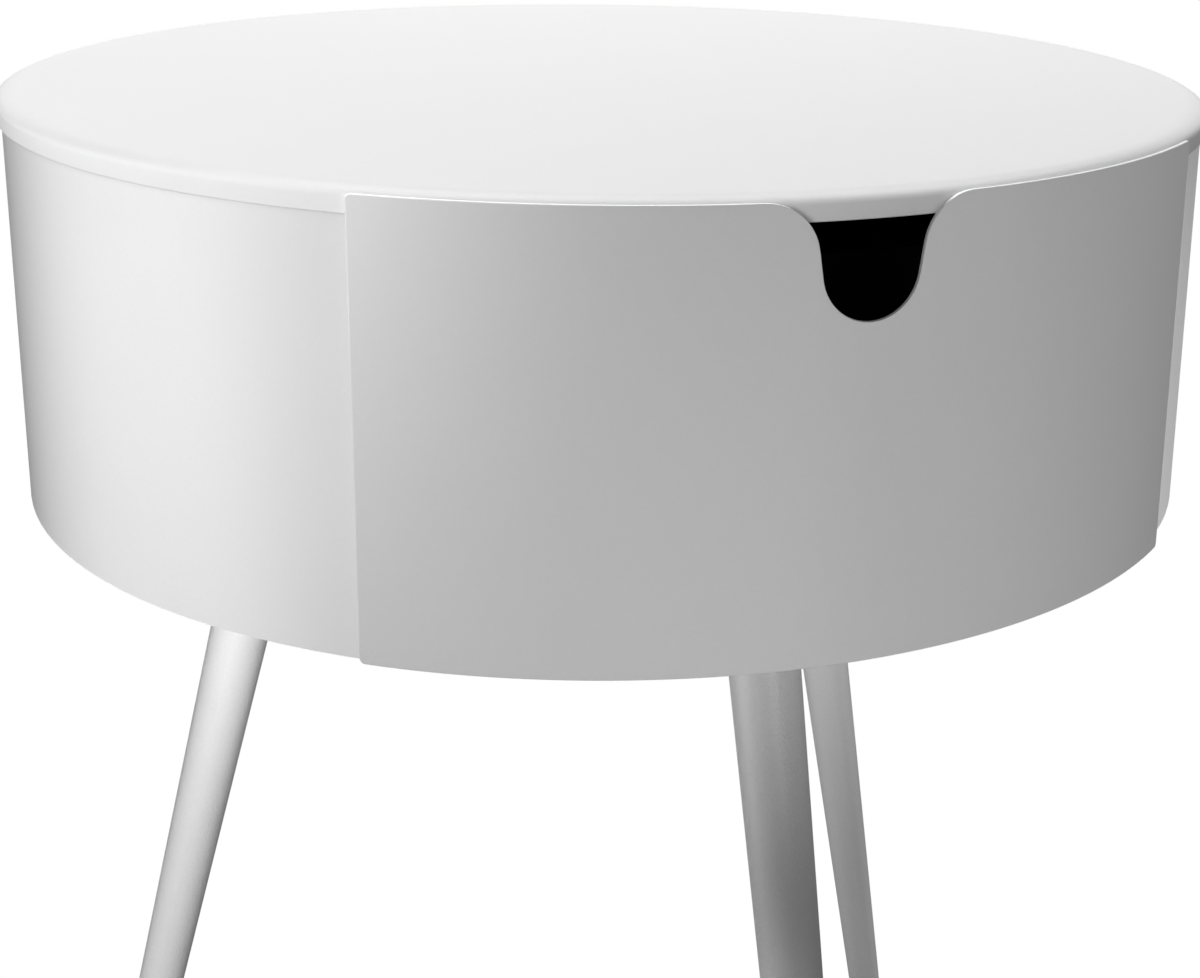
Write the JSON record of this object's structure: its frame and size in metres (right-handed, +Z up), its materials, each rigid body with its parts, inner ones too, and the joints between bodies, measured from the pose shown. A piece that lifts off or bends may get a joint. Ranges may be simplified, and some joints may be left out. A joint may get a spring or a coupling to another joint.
{
  "type": "nightstand",
  "caption": "Round drum nightstand with a curved drawer front, a finger notch and splayed tapered legs.",
  "frame": {"origin": "on the floor, under the middle of the whole footprint; the drum's axis stands 11.25 mm behind it, because the front foot reaches out further than the lid", "axes": "+Z up, the drawer faces -Y and opens along -Y, +X to the right as seen by someone who stands before the drawer"},
  "size_m": [0.4439, 0.4664, 0.56],
  "materials": {
    "white_coat": "satin",
    "black_coat": "matte",
    "zinc_steel": "satin",
    "ball_steel": "polished",
    "black_rubber": "matte",
    "grey_nylon": "matte"
  },
  "bodies": {
    "frame": {"top_lid": "white_coat", "drum_shell": "white_coat", "lid_nuts": "zinc_steel", "base_pan": "white_coat", "leg_plate_front": "white_coat", "leg_plate_right": "white_coat", "leg_plate_left": "white_coat", "leg_studs": "zinc_steel", "leg_front": "white_coat", "leg_right": "white_coat", "leg_left": "white_coat", "glide_front": "grey_nylon", "glide_right": "grey_nylon", "glide_left": "grey_nylon", "slide_bracket_left": "zinc_steel", "slide_bracket_right": "zinc_steel", "bracket_screws": "zinc_steel", "slide_outer_left": "zinc_steel", "slide_outer_right": "zinc_steel", "outer_slide_rivets": "zinc_steel", "slide_bumpers": "black_rubber"},
    "drawer": {"slide_inner_left": "zinc_steel", "slide_inner_right": "zinc_steel", "inner_slide_screws": "zinc_steel", "drawer_tray": "black_coat", "front_bracket_left": "black_coat", "front_bracket_right": "black_coat", "tray_screws": "zinc_steel", "drawer_front": "white_coat", "front_nuts": "zinc_steel", "front_bumpers": "black_rubber"},
    "cage_left": {"ball_cage_left": "zinc_steel", "balls_left": "ball_steel"},
    "cage_right": {"ball_cage_right": "zinc_steel", "balls_right": "ball_steel"}
  },
  "joints": [
    {"name": "drawer_slide", "type": "slide", "parent": "frame", "child": "drawer", "axis": [0, -1, 0], "range_m": [0, 0.225]},
    {"name": "cage_slide_left", "type": "slide", "parent": "frame", "child": "cage_left", "axis": [0, -1, 0], "range_m": [0, 0.1125]},
    {"name": "cage_slide_right", "type": "slide", "parent": "frame", "child": "cage_right", "axis": [0, -1, 0], "range_m": [0, 0.1125]}
  ],
  "couplings": [
    {"joint": "cage_slide_left", "follows": "drawer_slide", "ratio": 0.5},
    {"joint": "cage_slide_right", "follows": "drawer_slide", "ratio": 0.5}
  ]
}
